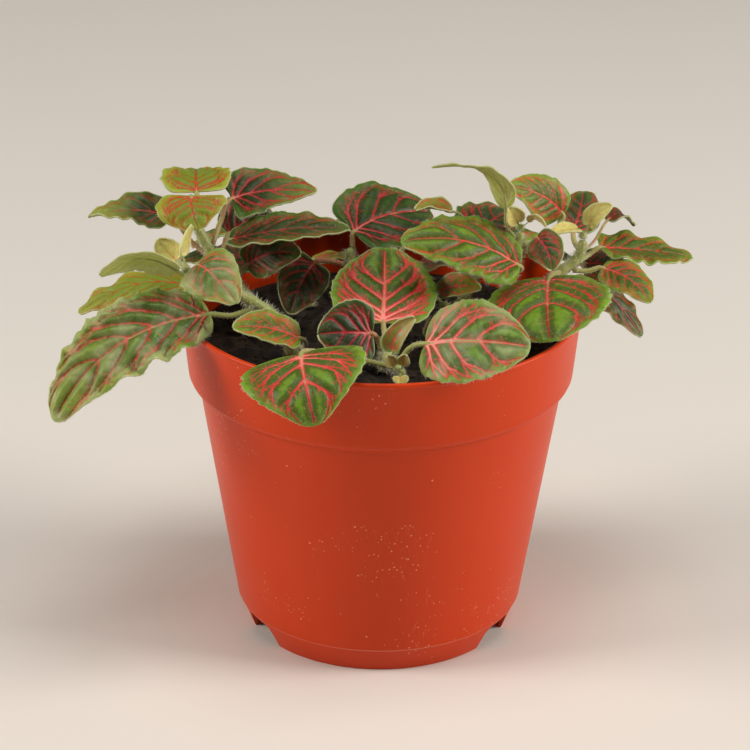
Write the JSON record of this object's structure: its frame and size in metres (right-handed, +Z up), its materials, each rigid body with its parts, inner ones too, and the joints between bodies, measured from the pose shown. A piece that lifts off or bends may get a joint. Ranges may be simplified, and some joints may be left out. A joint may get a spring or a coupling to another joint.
{
  "type": "potted nerve plant",
  "caption": "Nerve plant with red-veined green leaves on short hairy stems, growing in soil in a tapered moulded nursery pot.",
  "frame": {"origin": "on the pot's axis, on the plane that its foot stands on", "axes": "+Z up along the pot's axis, -Y towards the plant's full side, +X to the right as seen from there"},
  "size_m": [0.1891, 0.1396, 0.1495],
  "materials": {
    "pot_plastic": "satin moulded plastic, terracotta orange, lightly scuffed",
    "potting_soil": "dark crumbly peat",
    "stem_skin": "pale green, finely hairy",
    "leaf_dark": "dark green with red veins, soft sheen",
    "leaf_green": "bright green with coral veins, soft sheen",
    "leaf_young": "yellow green with fine red veins",
    "leaf_silver": "pale silvery green with pink veins",
    "leaf_shaded": "dull dark green with crimson veins",
    "tip_young": "pale yellow green, hairy"
  },
  "bodies": {
    "root": {"pot": "pot_plastic", "soil": "potting_soil", "stem_left": "stem_skin", "stem_upper_left": "stem_skin", "stem_middle": "stem_skin", "stem_front": "stem_skin", "stem_inner": "stem_skin", "stem_right": "stem_skin", "stem_far_right": "stem_skin", "stem_back_left": "stem_skin", "stem_back": "stem_skin", "stem_back_right": "stem_skin", "leaf_left_long": "leaf_silver", "leaf_left_under": "leaf_young", "leaf_left_folded": "leaf_young", "leaf_left_silver": "leaf_silver", "leaf_left_inner": "leaf_green", "leaf_upper_back": "leaf_young", "leaf_upper_front": "leaf_young", "leaf_upper_heart": "leaf_dark", "leaf_upper_curled": "leaf_dark", "leaf_upper_shaded": "leaf_shaded", "leaf_upper_side": "leaf_dark", "leaf_upper_low": "leaf_dark", "leaf_middle_top": "leaf_dark", "leaf_middle_left": "leaf_shaded", "leaf_front_big": "leaf_green", "leaf_front_dark": "leaf_shaded", "leaf_front_left": "leaf_green", "leaf_front_right": "leaf_silver", "leaf_front_young": "leaf_silver", "leaf_inner_small": "leaf_green", "leaf_inner_shaded": "leaf_shaded", "leaf_right_wide": "leaf_green", "leaf_right_behind": "leaf_dark", "leaf_right_crinkled": "leaf_green", "leaf_right_arching": "leaf_young", "leaf_right_top": "leaf_green", "leaf_right_small": "leaf_dark", "leaf_far_big": "leaf_green", "leaf_far_back": "leaf_dark", "leaf_far_edge": "leaf_shaded", "leaf_far_right": "leaf_green", "leaf_far_low": "leaf_green", "leaf_far_hanging": "leaf_dark", "leaf_far_shaded": "leaf_shaded", "leaf_back_left_rim": "leaf_green", "leaf_back_left_long": "leaf_dark", "leaf_back_left_side": "leaf_dark", "leaf_back_left_inner": "leaf_green", "leaf_back_hanging": "leaf_green", "leaf_back_silver": "leaf_silver", "leaf_back_inner": "leaf_dark", "leaf_back_right_rim": "leaf_green", "leaf_back_right_side": "leaf_dark", "leaf_back_right_young": "leaf_young", "tip_left": "tip_young", "tip_front": "tip_young", "tip_right": "tip_young", "tip_far": "tip_young"}
  },
  "joints": []
}
